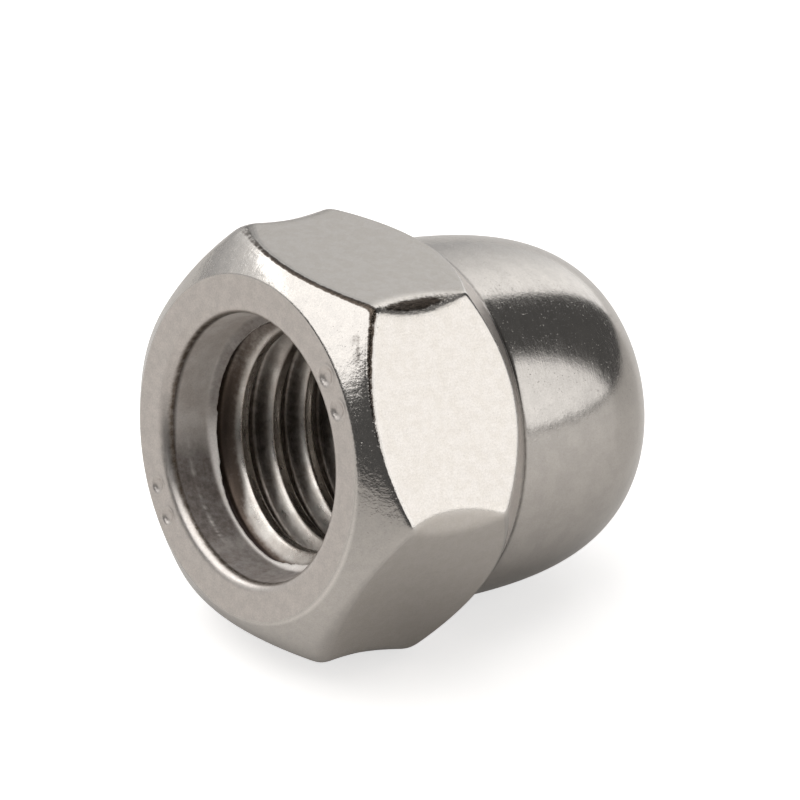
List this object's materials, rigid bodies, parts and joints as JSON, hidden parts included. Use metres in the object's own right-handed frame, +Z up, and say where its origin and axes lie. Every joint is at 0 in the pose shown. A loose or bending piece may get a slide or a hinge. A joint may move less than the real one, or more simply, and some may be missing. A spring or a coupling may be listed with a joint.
{
  "type": "cap nut",
  "caption": "Hexagonal cap nut with a domed crown and a blind threaded hole behind a recessed mouth, lying on its side.",
  "frame": {"origin": "centre of the box that the nut covers, on the surface that it lies on", "axes": "+Z up; the thread's axis lies in the YZ plane, 10.19 degrees from -Y, with the mouth raised towards -Y and the crown towards +Y"},
  "size_m": [0.0218, 0.0224, 0.0201],
  "materials": {
    "steel": "plain stainless steel, satin with fine brushing on the flats and brighter on the crown"
  },
  "bodies": {
    "root": {"cap_nut": "steel"}
  },
  "joints": []
}
